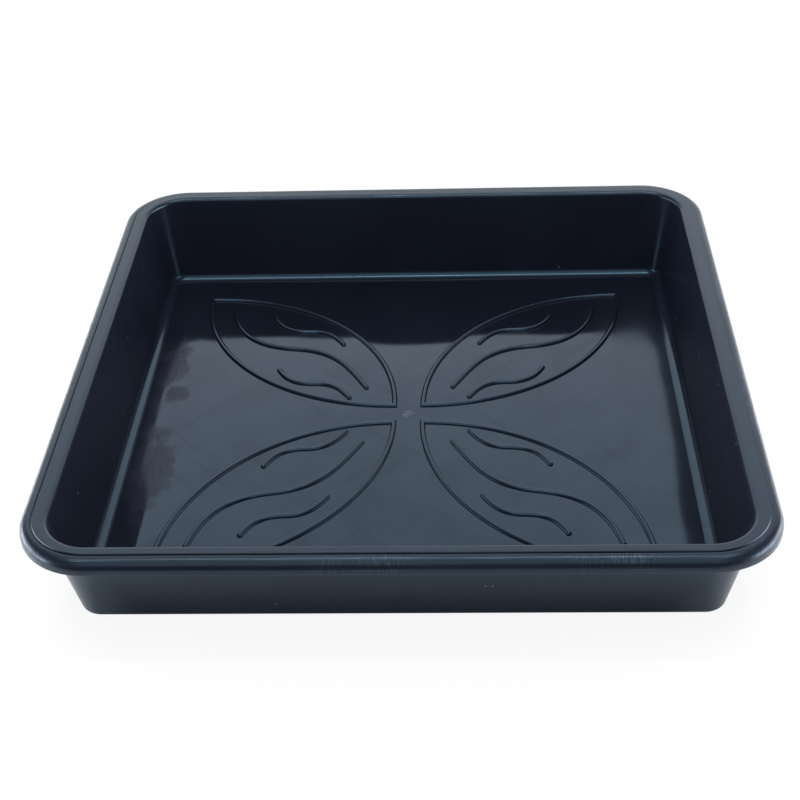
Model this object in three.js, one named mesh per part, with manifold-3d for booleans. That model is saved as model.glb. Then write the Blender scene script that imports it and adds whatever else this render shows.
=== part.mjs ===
// A square plant saucer, moulded in dark plastic: a shallow tray with leaning walls, a flat lip,
// a rolled edge and a floor with four raised leaves.
// The real saucer is one moulding, and each of its moulded features is a mesh here.
// Millimetres, +Z up. The origin is under the middle of the floor, on the plane that the saucer stands on.
import * as THREE from "three";
import { mergeGeometries, mergeVertices } from "three/addons/utils/BufferGeometryUtils.js";
import Module from "manifold-3d";

// Overall sizes
const WIDTH = 400; // both ways, over the rolled edge
const HEIGHT = 61; // standing plane to the top of the lip

// Floor and walls
const FLOOR_THICKNESS = 2.6;
const FLOOR_CROWN = 3; // rise of the floor from its edge to its middle
const WALL_THICKNESS = 2.6; // measured level
const WALL_LEAN = THREE.MathUtils.degToRad(13.5); // outwards from upright
const FLOOR_FILLET = 4; // inside, floor to wall
const BASE_ROUND = 3; // outside, standing face to wall
const CORNER_RADIUS = 10; // at the floor's edge; the corners of walls and rim share its centre

// Rim
const LIP_WIDTH = 5.5; // flat top
const LIP_THICKNESS = 2.4; // its inner edge is rounded over this whole thickness
const STEP_DOWN = 0.6; // lip to the top of the rolled edge
const ROLL_RADIUS = 6;
const ROLL_THICKNESS = 2;
const SKIRT_HEIGHT = 2.6; // upright part under the roll

// Raised leaves on the floor
const LEAF_GAP = 9; // middle of the floor to the inner tip of a leaf, along X and along Y
const LEAF_MARGIN = 27.5; // outer tip of a leaf to the floor's edge, along X and along Y
const RIB_WIDTH = 2.6;
const RIB_HEIGHT = 1;
const RIB_SEAT = 0.05; // clearance of a rib over the crowned floor

// A leaf's veins, drawn in a square of side 1 with the inner tip at 0, 0 and the outer tip at 1, 1
const LONG_VEIN = {
  start: new THREE.Vector2(0.142, 0.15),
  middle: new THREE.Vector2(0.525, 0.505),
  end: new THREE.Vector2(0.863, 0.852),
  headings: [62, 8, 78],
};
const SIDE_VEIN = {
  start: new THREE.Vector2(0.276, 0.537),
  middle: new THREE.Vector2(0.458, 0.661),
  end: new THREE.Vector2(0.637, 0.785),
  headings: [60, 0, 65],
};
const INNER_VEIN_SHIFT = new THREE.Vector2(-0.055, -0.469); // from the outer side vein to the inner one
const VEIN_PULL = 0.42; // handle length of a vein's curves, as a share of their span

// Mark that the mould's gate left in the middle of the floor
const GATE_DIAMETER = 8.6;
const GATE_HEIGHT = 0.6;

// Fineness
const CORNER_STEPS = 8;
const FILLET_STEPS = 4;
const LEAF_STEPS = 10;
const VEIN_STEPS = 14;
const VEIN_END_STEPS = 4;
const FLOOR_CELLS = 16;
const GATE_SIDES = 24;
const SAME_POINT = 1e-6; // points nearer than this are one

// Levels and half widths that follow from the sizes
const seat = HEIGHT - LIP_THICKNESS; // the lip sits on the walls here
const rollTop = HEIGHT - STEP_DOWN;
const rollAxis = rollTop - ROLL_RADIUS;
const skirtFoot = rollAxis - SKIRT_HEIGHT;
const rimHalf = WIDTH / 2;
const stepHalf = rimHalf - ROLL_RADIUS;
const mouthHalf = stepHalf - LIP_WIDTH - LIP_THICKNESS;
const floorHalf = arcAxis(mouthHalf, FLOOR_THICKNESS, FLOOR_FILLET);
const footHalf = arcAxis(mouthHalf + WALL_THICKNESS, 0, BASE_ROUND);
const cornerAxis = floorHalf - CORNER_RADIUS;
const leafSide = floorHalf - LEAF_MARGIN - LEAF_GAP;

// Half width at the axis of a rounding between a level face and the wall face that meets the seat at topHalf.
function arcAxis(topHalf, level, radius) {
  const rise = seat - level - radius * (1 - Math.sin(WALL_LEAN));
  return topHalf - rise * Math.tan(WALL_LEAN) - radius * Math.cos(WALL_LEAN);
}

// Sections across the walls and rim: x is the distance out from the corner's axis, y is the height.
const reach = (half) => half - cornerAxis;

function wallSection() {
  const shape = new THREE.Shape();
  shape.moveTo(reach(floorHalf), 0);
  shape.lineTo(reach(footHalf), 0);
  shape.absarc(reach(footHalf), BASE_ROUND, BASE_ROUND, -Math.PI / 2, -WALL_LEAN, false);
  shape.lineTo(reach(mouthHalf) + WALL_THICKNESS, seat);
  shape.lineTo(reach(mouthHalf), seat);
  const filletAxis = FLOOR_THICKNESS + FLOOR_FILLET;
  shape.absarc(reach(floorHalf), filletAxis, FLOOR_FILLET, -WALL_LEAN, -Math.PI / 2, true);
  return shape;
}

function lipSection() {
  const shape = new THREE.Shape();
  const flatStart = reach(mouthHalf) + LIP_THICKNESS;
  shape.moveTo(reach(mouthHalf), seat);
  shape.lineTo(reach(stepHalf), seat);
  shape.lineTo(reach(stepHalf), HEIGHT);
  shape.absarc(flatStart, seat, LIP_THICKNESS, Math.PI / 2, Math.PI, false);
  return shape;
}

function rolledEdgeSection() {
  const shape = new THREE.Shape();
  const inside = ROLL_RADIUS - ROLL_THICKNESS;
  shape.absarc(reach(stepHalf), rollAxis, inside, Math.PI / 2, 0, true);
  shape.lineTo(reach(stepHalf) + inside, skirtFoot);
  shape.lineTo(reach(rimHalf), skirtFoot);
  shape.absarc(reach(stepHalf), rollAxis, ROLL_RADIUS, 0, Math.PI / 2, false);
  return shape;
}

// The corners of a closed outline, each once, counter-clockwise.
function loopOf(points) {
  const repeats = (p, i) => p.distanceTo(points[(i + 1) % points.length]) < SAME_POINT;
  const corners = points.filter((p, i) => !repeats(p, i));
  return THREE.ShapeUtils.isClockWise(corners) ? corners.reverse() : corners;
}

const sectionPoints = (section) => loopOf(section.getPoints(FILLET_STEPS / 2));

// The straight run of a section along the front, between the two corner axes.
function straightRun(section) {
  const length = 2 * cornerAxis;
  const settings = { depth: length, bevelEnabled: false };
  const geometry = new THREE.ExtrudeGeometry(new THREE.Shape(sectionPoints(section)), settings);
  geometry.translate(cornerAxis, 0, -length / 2);
  const outwards = new THREE.Vector3(0, -1, 0);
  const upwards = new THREE.Vector3(0, 0, 1);
  const alongside = new THREE.Vector3().crossVectors(outwards, upwards);
  return geometry.applyMatrix4(new THREE.Matrix4().makeBasis(outwards, upwards, alongside));
}

// A section turned a quarter round the axis of the front right corner, and closed by its two end faces.
function cornerTurn(section) {
  const points = sectionPoints(section);
  const skin = new THREE.LatheGeometry([...points, points[0]], CORNER_STEPS, 0, Math.PI / 2);
  const rightEnd = new THREE.ShapeGeometry(new THREE.Shape(points));
  const frontEnd = rightEnd.clone().rotateY(-Math.PI / 2);
  rightEnd.index.array.reverse();
  const geometry = mergeGeometries([skin, rightEnd, frontEnd].map(bare));
  return geometry.rotateX(Math.PI / 2).translate(cornerAxis, -cornerAxis, 0);
}

// A geometry with its positions and triangles alone, so that meeting vertices can merge.
function bare(geometry) {
  const plain = geometry.clone();
  plain.deleteAttribute("normal");
  plain.deleteAttribute("uv");
  return mergeVertices(plain);
}

// Height of the crown over the floor's edge: a smooth rise that is nil all round the edge.
function crownAt(x, y) {
  const fade = (d) => 1 - Math.min(1, (d / floorHalf) ** 2);
  return FLOOR_CROWN * fade(x) * fade(y);
}

// Lifts every point of a flat geometry by the crown under it.
function layOnCrown(geometry) {
  const position = geometry.attributes.position;
  for (let i = 0; i < position.count; i += 1) {
    position.setZ(i, position.getZ(i) + crownAt(position.getX(i), position.getY(i)));
  }
  return geometry;
}

const wasm = await Module();
wasm.setup();

function solidFrom(geometry) {
  const plain = bare(geometry);
  const vertProperties = plain.attributes.position.array;
  const triVerts = new Uint32Array(plain.index.array);
  return new wasm.Manifold(new wasm.Mesh({ numProp: 3, vertProperties, triVerts }));
}

function geometryFrom(solid) {
  const mesh = solid.getMesh();
  const geometry = new THREE.BufferGeometry();
  geometry.setAttribute("position", new THREE.BufferAttribute(mesh.vertProperties, 3));
  geometry.setIndex(new THREE.BufferAttribute(mesh.triVerts, 1));
  return geometry;
}

// The floor's outline: a square with rounded corners.
function floorOutline() {
  const shape = new THREE.Shape();
  for (let turn = 0; turn < 4; turn += 1) {
    const start = (turn * Math.PI) / 2;
    const x = cornerAxis * Math.SQRT2 * Math.cos(start + Math.PI / 4);
    const y = cornerAxis * Math.SQRT2 * Math.sin(start + Math.PI / 4);
    shape.absarc(x, y, CORNER_RADIUS, start, start + Math.PI / 2, false);
  }
  return shape;
}

// The floor keeps one thickness and rises to its crown, and its outline is cut from the crowned plate.
function floorPanel() {
  const side = 2 * floorHalf;
  const plate = new THREE.BoxGeometry(side, side, FLOOR_THICKNESS, FLOOR_CELLS, FLOOR_CELLS, 1);
  plate.translate(0, 0, FLOOR_THICKNESS / 2);
  const tall = FLOOR_CROWN + 2 * FLOOR_THICKNESS;
  const settings = { depth: tall, bevelEnabled: false, curveSegments: CORNER_STEPS / 2 };
  const cutter = new THREE.ExtrudeGeometry(floorOutline(), settings);
  cutter.translate(0, 0, -FLOOR_THICKNESS / 2);
  return geometryFrom(solidFrom(layOnCrown(plate)).intersect(solidFrom(cutter)));
}

// Raises a flat outline off the crowned floor as a rib.
function ribFrom(shape) {
  const geometry = new THREE.ExtrudeGeometry(shape, { depth: RIB_HEIGHT, bevelEnabled: false });
  geometry.translate(0, 0, FLOOR_THICKNESS + RIB_SEAT);
  return layOnCrown(geometry);
}

// A leaf is the overlap of two quarter discs in a square; growth widens or narrows both of them.
function leafEdge(growth) {
  const path = new THREE.Path();
  const near = LEAF_GAP;
  const far = LEAF_GAP + leafSide;
  const radius = leafSide + growth;
  const tipTurn = Math.acos(leafSide / (Math.SQRT2 * radius)) - Math.PI / 4;
  path.absarc(near, far, radius, -Math.PI / 2 - tipTurn, tipTurn, false);
  path.absarc(far, near, radius, Math.PI / 2 - tipTurn, Math.PI + tipTurn, false);
  return path.getPoints(LEAF_STEPS);
}

// An outline on the back right leaf, mirrored into the quarter of the floor with the given signs of x and y.
function inQuarter(points, [signX, signY]) {
  return loopOf(points.map((p) => new THREE.Vector2(signX * p.x, signY * p.y)));
}

function leafRib(quarter) {
  const shape = new THREE.Shape(inQuarter(leafEdge(RIB_WIDTH / 2), quarter));
  shape.holes.push(new THREE.Path(inQuarter(leafEdge(-RIB_WIDTH / 2), quarter)));
  return ribFrom(shape);
}

// The middle line of a vein: two curves that meet at its middle, each leaving its ends along a heading.
function veinLine({ start, middle, end, headings }, shift) {
  const onFloor = (p) => p.clone().add(shift).multiplyScalar(leafSide).addScalar(LEAF_GAP);
  const knots = [start, middle, end].map(onFloor);
  const turns = headings.map(THREE.MathUtils.degToRad);
  const ways = turns.map((turn) => new THREE.Vector2(Math.cos(turn), Math.sin(turn)));
  const line = new THREE.Path();
  line.moveTo(knots[0].x, knots[0].y);
  for (let i = 1; i < knots.length; i += 1) {
    const [from, to] = [knots[i - 1], knots[i]];
    const pull = VEIN_PULL * from.distanceTo(to);
    const leave = from.clone().addScaledVector(ways[i - 1], pull);
    const arrive = to.clone().addScaledVector(ways[i], -pull);
    line.bezierCurveTo(leave.x, leave.y, arrive.x, arrive.y, to.x, to.y);
  }
  return line;
}

// The outline of a vein: its middle line widened to both sides, with half-round ends.
function veinOutline(vein, shift) {
  const line = veinLine(vein, shift);
  const outline = [];
  for (const [first, way] of [[0, 1], [1, -1]]) {
    for (let i = 0; i <= VEIN_STEPS; i += 1) {
      const along = first + (way * i) / VEIN_STEPS;
      const side = line.getTangentAt(along).multiplyScalar(way * RIB_WIDTH / 2);
      side.set(side.y, -side.x);
      const last = i === VEIN_STEPS ? VEIN_END_STEPS - 1 : 0;
      for (let turn = 0; turn <= last; turn += 1) {
        const angle = (turn * Math.PI) / VEIN_END_STEPS;
        const spoke = side.clone().rotateAround(new THREE.Vector2(), angle);
        outline.push(line.getPointAt(along).add(spoke));
      }
    }
  }
  return outline;
}

function veinRib(vein, shift, quarter) {
  return ribFrom(new THREE.Shape(inQuarter(veinOutline(vein, shift), quarter)));
}

function gateMark() {
  const radius = GATE_DIAMETER / 2;
  const disc = new THREE.CylinderGeometry(radius, radius, GATE_HEIGHT, GATE_SIDES).rotateX(Math.PI / 2);
  return disc.translate(0, 0, FLOOR_THICKNESS + FLOOR_CROWN + RIB_SEAT + GATE_HEIGHT / 2);
}

// Finishes of the moulded plastic
const FINISH = {
  inside: { color: 0x1b2029, roughness: 0.22 },
  wall: { color: 0x1c222b, roughness: 0.38 },
  rim: { color: 0x222934, roughness: 0.34 },
  rib: { color: 0x1a1f28, roughness: 0.26 },
  gate: { color: 0x39414d, roughness: 0.45 },
};

const saucer = new THREE.Group();

function add(name, geometry, finish, turn = 0) {
  const material = new THREE.MeshStandardMaterial({ ...finish, metalness: 0 });
  const mesh = new THREE.Mesh(geometry, material);
  mesh.name = name;
  mesh.rotation.z = turn;
  saucer.add(mesh);
}

add("floor_panel", floorPanel(), FINISH.inside);

// Walls, lip and rolled edge: the front run and the front right corner, turned to each side
const SIDES = ["front", "right", "back", "left"];
const CORNERS = ["front_right", "back_right", "back_left", "front_left"];
const RINGS = [
  ["wall", wallSection(), FINISH.wall],
  ["lip", lipSection(), FINISH.rim],
  ["rolled_edge", rolledEdgeSection(), FINISH.rim],
];
for (const [ring, section, finish] of RINGS) {
  SIDES.forEach((side, i) => {
    const turn = (i * Math.PI) / 2;
    add(`${side}_${ring}`, straightRun(section), finish, turn);
    add(`${CORNERS[i]}_${ring}_corner`, cornerTurn(section), finish, turn);
  });
}

// Leaves
const QUARTERS = { back_right: [1, 1], back_left: [-1, 1], front_left: [-1, -1], front_right: [1, -1] };
for (const [place, quarter] of Object.entries(QUARTERS)) {
  const still = new THREE.Vector2();
  add(`${place}_leaf_edge`, leafRib(quarter), FINISH.rib);
  add(`${place}_long_vein`, veinRib(LONG_VEIN, still, quarter), FINISH.rib);
  add(`${place}_outer_vein`, veinRib(SIDE_VEIN, still, quarter), FINISH.rib);
  add(`${place}_inner_vein`, veinRib(SIDE_VEIN, INNER_VEIN_SHIFT, quarter), FINISH.rib);
}

add("gate_mark", gateMark(), FINISH.gate);

export default saucer;
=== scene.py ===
"""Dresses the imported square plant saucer: one dark moulding with a rolled rim and raised leaf ribs.

Every piece is a closed surface worked out with numpy, as a profile carried along a path.
Lengths are metres, +X is right, +Y is the back and +Z is up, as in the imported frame.
"""

import logging
import math
from dataclasses import dataclass, field
from enum import Enum
from typing import Any, Callable

import bmesh
import bpy
import numpy as np
from mathutils import Matrix, Vector


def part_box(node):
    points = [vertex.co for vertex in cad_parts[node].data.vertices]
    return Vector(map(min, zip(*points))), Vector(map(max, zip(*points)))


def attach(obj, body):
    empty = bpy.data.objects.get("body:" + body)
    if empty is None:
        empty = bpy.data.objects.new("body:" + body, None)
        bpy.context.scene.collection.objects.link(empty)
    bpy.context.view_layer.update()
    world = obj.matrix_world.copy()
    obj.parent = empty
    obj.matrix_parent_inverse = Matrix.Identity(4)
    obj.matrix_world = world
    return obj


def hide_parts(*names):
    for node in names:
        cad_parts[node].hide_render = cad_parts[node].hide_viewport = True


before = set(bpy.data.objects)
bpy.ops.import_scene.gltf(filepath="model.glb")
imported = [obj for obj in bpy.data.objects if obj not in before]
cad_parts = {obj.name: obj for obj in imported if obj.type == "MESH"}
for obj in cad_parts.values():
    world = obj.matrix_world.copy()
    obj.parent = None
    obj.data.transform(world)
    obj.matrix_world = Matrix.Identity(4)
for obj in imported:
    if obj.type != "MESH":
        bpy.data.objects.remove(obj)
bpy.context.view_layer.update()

LOG = logging.getLogger("saucer")
MM = 0.001
BODY = "root"
IMAGE_WIDTH = 800
SENSOR_WIDTH = 36.0
WELD = 1e-7
SMOOTH_BELOW = 40.0  # degrees: edges that bend more stay sharp where no facings are given
FLOW = "flow"  # attribute: places on a tube whose rings are as long as the rim
ROLL = "roll"  # attribute: one on the rolled edge and none elsewhere
DULL = "dull"  # attribute: none in the walls' fillet, a half outside and one inside
DULL_OUTSIDE = 0.5

Array = np.ndarray
Point = tuple[float, float]
Triple = tuple[float, float, float]
Colour = Triple
Socket = bpy.types.NodeSocket
Piece = bpy.types.Object


class Slot(Enum):
    """The record's material slots."""

    FLOOR = "floor"
    WALL = "wall"
    RIM = "rim"
    RIB = "rib"
    GATE = "gate"


class Quarter(Enum):
    """A quarter of the floor, by the signs of its X and Y."""

    BACK_RIGHT = (1, 1)
    BACK_LEFT = (-1, 1)
    FRONT_LEFT = (-1, -1)
    FRONT_RIGHT = (1, -1)

    @property
    def label(self) -> str:
        """The quarter's name as the nodes spell it."""
        return self.name.lower()


class Vein(Enum):
    """The three veins of a leaf."""

    LONG = "long_vein"
    OUTER = "outer_vein"
    INNER = "inner_vein"


SIDES = ("front", "right", "back", "left")
CORNERS = ("front_right", "back_right", "back_left", "front_left")


# Node sheets and finishes


class NodeSheet:
    """A node tree that is wired by short calls."""

    def __init__(self, tree: bpy.types.NodeTree) -> None:
        """Clears the tree and keeps it."""
        self.tree = tree
        tree.nodes.clear()

    def add(self, kind: str, **settings: Any) -> bpy.types.Node:
        """Adds a node.

        Args:
            kind: the node's type.
            settings: properties of the node to set.

        Returns:
            The node.
        """
        node = self.tree.nodes.new(kind)
        for key, value in settings.items():
            setattr(node, key, value)
        return node

    def put(self, socket: Socket, value: Any) -> None:
        """Links a socket into another, or sets a plain value on it.

        Args:
            socket: the input to fill.
            value: another node's socket, or a value.
        """
        if isinstance(value, Socket):
            self.tree.links.new(value, socket)
        else:
            socket.default_value = value

    def math(self, operation: str, a: Any, b: Any = 0.0) -> Socket:
        """Works out one number from two.

        Args:
            operation: the Math node's operation.
            a: first number or socket.
            b: second number or socket.

        Returns:
            The result's socket.
        """
        node = self.add("ShaderNodeMath", operation=operation)
        self.put(node.inputs[0], a)
        self.put(node.inputs[1], b)
        return node.outputs[0]

    def vector(self, operation: str, a: Any, b: Any = (0.0, 0.0, 0.0)) -> bpy.types.Node:
        """Adds a Vector Math node.

        Args:
            operation: the node's operation.
            a: first vector or socket.
            b: second vector or socket.

        Returns:
            The node, whose result is a vector or a value.
        """
        node = self.add("ShaderNodeVectorMath", operation=operation)
        self.put(node.inputs[0], a)
        self.put(node.inputs[1], b)
        return node

    def parts(self, vector: Any) -> Any:
        """Splits a vector.

        Args:
            vector: the vector's socket.

        Returns:
            The sockets of its X, Y and Z, by name.
        """
        node = self.add("ShaderNodeSeparateXYZ")
        self.put(node.inputs[0], vector)
        return node.outputs

    def placed(self, vector: Any, scale: Triple = (1.0, 1.0, 1.0), turn: float = 0.0) -> Socket:
        """Scales a pattern's coordinates and then turns them about Z.

        Args:
            vector: the coordinates.
            scale: scale of each axis.
            turn: turn about Z in degrees.

        Returns:
            The new coordinates.
        """
        node = self.add("ShaderNodeMapping")
        self.put(node.inputs["Vector"], vector)
        self.put(node.inputs["Rotation"], (0.0, 0.0, math.radians(turn)))
        self.put(node.inputs["Scale"], scale)
        return node.outputs[0]

    def noise(self, vector: Any, scale: float, detail: float = 2.0, rough: float = 0.5) -> Socket:
        """Adds cloudy noise.

        Args:
            vector: the coordinates.
            scale: clouds per metre.
            detail: octaves.
            rough: weight of the finer octaves.

        Returns:
            The noise's value.
        """
        node = self.add("ShaderNodeTexNoise")
        self.put(node.inputs["Vector"], vector)
        self.put(node.inputs["Scale"], scale)
        self.put(node.inputs["Detail"], detail)
        self.put(node.inputs["Roughness"], rough)
        return node.outputs[0]

    def ranged(self, value: Any, low: float, high: float, to_low: Any = 0.0, to_high: Any = 1.0) -> Socket:
        """Eases a value from one range to another.

        Args:
            value: the value.
            low: start of its range.
            high: end of its range.
            to_low: result at the start.
            to_high: result at the end.

        Returns:
            The eased value.
        """
        node = self.add("ShaderNodeMapRange", interpolation_type="SMOOTHSTEP")
        names = ("Value", "From Min", "From Max", "To Min", "To Max")
        for name, given in zip(names, (value, low, high, to_low, to_high)):
            self.put(node.inputs[name], given)
        return node.outputs[0]

    def mix(self, factor: Any, a: Any, b: Any) -> Socket:
        """Mixes two colours.

        Args:
            factor: share of the second colour.
            a: first colour.
            b: second colour.

        Returns:
            The mixed colour.
        """
        node = self.add("ShaderNodeMix", data_type="RGBA")
        self.put(node.inputs[0], factor)
        for index, given in ((6, a), (7, b)):
            self.put(node.inputs[index], (*given, 1.0) if isinstance(given, tuple) else given)
        return node.outputs[2]

    def bump(self, height: Any, distance: float, strength: float, normal: Any = None) -> Socket:
        """Turns a height into a bumped normal.

        Args:
            height: the height's socket.
            distance: how far a height of 1 stands up.
            strength: share of the bump that shows.
            normal: a bumped normal to start from.

        Returns:
            The new normal.
        """
        node = self.add("ShaderNodeBump")
        self.put(node.inputs["Height"], height)
        self.put(node.inputs["Distance"], distance)
        self.put(node.inputs["Strength"], strength)
        if normal is not None:
            self.put(node.inputs["Normal"], normal)
        return node.outputs[0]


@dataclass
class Look:
    """What a finish sends to its shader, as plain values or sockets."""

    colour: Any
    rough: Any
    normal: Any
    shine: Any


@dataclass(frozen=True)
class Plastic:
    """The saucer's dark slate plastic, moulded with a gloss of its own on each kind of piece."""

    name: str
    dark: Colour
    light: Colour
    gloss: Point
    cloud: float = 14.0
    grain: float = 900.0
    grain_height: float = 0.006 * MM
    tint: Colour = (0.45, 0.72, 1.0)
    shine: float = 0.5
    ior: float = 1.5
    cloud_ends: Point = (0.3, 0.7)  # noise at which the dark and the light colour are full
    grain_share: float = 0.4

    def material(self) -> bpy.types.Material:
        """Makes the material: clouds of two near colours and two near roughnesses, and a fine grain.

        Returns:
            The material.
        """
        made = bpy.data.materials.new(self.name)
        made.use_nodes = True
        sheet = NodeSheet(made.node_tree)
        out = sheet.add("ShaderNodeOutputMaterial")
        skin = sheet.add("ShaderNodeBsdfPrincipled")
        sheet.put(out.inputs["Surface"], skin.outputs[0])
        place = sheet.add("ShaderNodeTexCoord").outputs["Object"]
        clouds = sheet.noise(place, self.cloud, 3.0, 0.6)
        look = Look(
            sheet.mix(sheet.ranged(clouds, *self.cloud_ends), self.dark, self.light),
            sheet.ranged(clouds, *self.cloud_ends, *self.gloss),
            sheet.bump(sheet.noise(place, self.grain), self.grain_height, self.grain_share),
            self.shine,
        )
        self.mark(sheet, place, look)
        sheet.put(skin.inputs["Base Color"], look.colour)
        sheet.put(skin.inputs["Roughness"], look.rough)
        sheet.put(skin.inputs["Normal"], look.normal)
        sheet.put(skin.inputs["IOR"], self.ior)
        sheet.put(skin.inputs["Specular IOR Level"], look.shine)
        sheet.put(skin.inputs["Specular Tint"], (*self.tint, 1.0))
        return made

    def mark(self, sheet: NodeSheet, place: Any, look: Look) -> None:
        """Adds a finish's own marks to its look. Plain plastic has none."""


@dataclass(frozen=True)
class FloorPlastic(Plastic):
    """The floor's plastic, with scuffs along its left edge, smudges and faint diagonal streaks."""

    scuff: Colour = (0.0175, 0.0172, 0.0285)
    scuff_dull: float = 0.22
    scuff_shine: float = 0.18
    patches: tuple[tuple[Point, Point], ...] = (  # middle and half sizes of each scuff
        ((-0.1545, -0.043), (0.0135, 0.045)),
        ((-0.1565, 0.060), (0.0105, 0.023)),
        ((-0.1500, 0.029), (0.0080, 0.011)),
    )
    patch_edge: Point = (0.4, 1.45)  # shares of the half sizes between which a scuff fades
    ragged: float = 0.45
    rag_ends: Point = (0.25, 0.75)
    rags_per_metre: float = 60.0
    strokes_per_metre: float = 900.0
    stroke_stretch: float = 0.2
    stroke_least: float = 0.6
    scuffed_over: Point = (1.8 * MM, 2.3 * MM)  # heights that part the floor's top from its underside there
    streaks_per_metre: float = 170.0
    streak_stretch: float = 0.05
    streak_ends: Point = (0.27, 0.42)
    streak_shine: float = 0.84
    smudges_per_metre: float = 28.0
    smudge_ends: Point = (0.3, 0.6)
    smudged: Point = (0.90, 1.04)
    haze: float = 0.09
    haze_edge: Point = (0.115, 0.150)

    def scuffs(self, sheet: NodeSheet, place: Any) -> Any:
        """Draws ragged ovals on the floor's top by strokes front to back.

        A point's reach is its distance from an oval's middle as a share of the half sizes, plus noise.

        Args:
            sheet: the material's nodes.
            place: Object coordinates.

        Returns:
            How far each point is scuffed.
        """
        ragged = sheet.noise(place, self.rags_per_metre, 4.0, 0.55)
        ragged = sheet.ranged(ragged, *self.rag_ends, -self.ragged, self.ragged)
        share: Any = 0.0
        for centre, (across, along) in self.patches:
            centred = sheet.vector("SUBTRACT", place, (*centre, 0.0)).outputs[0]
            oval = sheet.vector("MULTIPLY", centred, (1 / across, 1 / along, 0.0)).outputs[0]
            reach = sheet.math("ADD", sheet.vector("LENGTH", oval).outputs["Value"], ragged)
            share = sheet.math("MAXIMUM", sheet.ranged(reach, *self.patch_edge, 1.0, 0.0), share)
        drawn_out = sheet.placed(place, (1.0, self.stroke_stretch, 1.0))
        strokes = sheet.noise(drawn_out, self.strokes_per_metre, 3.0, 0.6)
        strokes = sheet.ranged(strokes, *self.cloud_ends, self.stroke_least, 1.0)
        on_top = sheet.ranged(sheet.parts(place)["Z"], *self.scuffed_over)
        return sheet.math("MULTIPLY", sheet.math("MULTIPLY", share, strokes), on_top)

    def streaks(self, sheet: NodeSheet, place: Any) -> Any:
        """Draws faint streaks along both diagonals: the lesser of two noises drawn out along them.

        Args:
            sheet: the material's nodes.
            place: Object coordinates.

        Returns:
            The share of the shine that is left.
        """
        least: Any = 1.0
        for turn in (45.0, -45.0):
            drawn_out = sheet.placed(sheet.placed(place, turn=turn), (1.0, self.streak_stretch, 1.0))
            least = sheet.math("MINIMUM", least, sheet.noise(drawn_out, self.streaks_per_metre, 3.0, 0.6))
        return sheet.ranged(least, *self.streak_ends, self.streak_shine, 1.0)

    def mark(self, sheet: NodeSheet, place: Any, look: Look) -> None:
        """Dulls and tints the scuffs, dims the smudges and streaks, and hazes the right.

        Args:
            sheet: the material's nodes.
            place: Object coordinates.
            look: the look to mark.
        """
        scuffed = self.scuffs(sheet, place)
        hazed = sheet.ranged(sheet.parts(place)["X"], *self.haze_edge, 0.0, self.haze)
        look.rough = sheet.math("ADD", look.rough, sheet.math("MULTIPLY", scuffed, self.scuff_dull))
        look.rough = sheet.math("ADD", look.rough, hazed)
        smudges = sheet.noise(place, self.smudges_per_metre, 5.0, 0.6)
        shine = sheet.ranged(smudges, *self.smudge_ends, *(self.shine * share for share in self.smudged))
        shine = sheet.math("MULTIPLY", shine, self.streaks(sheet, place))
        look.shine = sheet.ranged(scuffed, 0.0, 1.0, shine, self.scuff_shine)
        look.colour = sheet.mix(scuffed, look.colour, self.scuff)


@dataclass(frozen=True)
class WallPlastic(Plastic):
    """The walls' plastic, duller inside the tray and with a few pale specks."""

    speck: Colour = (0.12, 0.13, 0.16)
    specks_per_metre: float = 260.0
    speck_above: float = 1.5  # a cell whose random colour is longer than this has a speck
    speck_edge: Point = (0.1, 0.2)
    shine_inside: float = 0.015
    fillet_rough: float = 0.6
    fillet_ends: Point = (0.2, 0.8)  # dullness at which the fillet's share and the full roughness hold

    def mark(self, sheet: NodeSheet, place: Any, look: Look) -> None:
        """Sets a pale speck in the cells that draw the top numbers, and dulls the walls by their attribute.

        Args:
            sheet: the material's nodes.
            place: Object coordinates.
            look: the look to mark.
        """
        cells = sheet.add("ShaderNodeTexVoronoi", feature="F1")
        sheet.put(cells.inputs["Vector"], place)
        sheet.put(cells.inputs["Scale"], self.specks_per_metre)
        drawn = sheet.vector("LENGTH", cells.outputs["Color"]).outputs["Value"]
        chosen = sheet.math("GREATER_THAN", drawn, self.speck_above)
        near = sheet.ranged(cells.outputs["Distance"], *self.speck_edge, 1.0, 0.0)
        look.colour = sheet.mix(sheet.math("MULTIPLY", chosen, near), look.colour, self.speck)
        dull = sheet.add("ShaderNodeAttribute", attribute_name=DULL).outputs["Fac"]
        look.shine = sheet.ranged(dull, DULL_OUTSIDE, 1.0, self.shine, self.shine_inside)
        rough = sheet.ranged(dull, *self.fillet_ends, self.fillet_rough, 1.0)
        look.rough = sheet.math("MULTIPLY", look.rough, rough)


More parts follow.
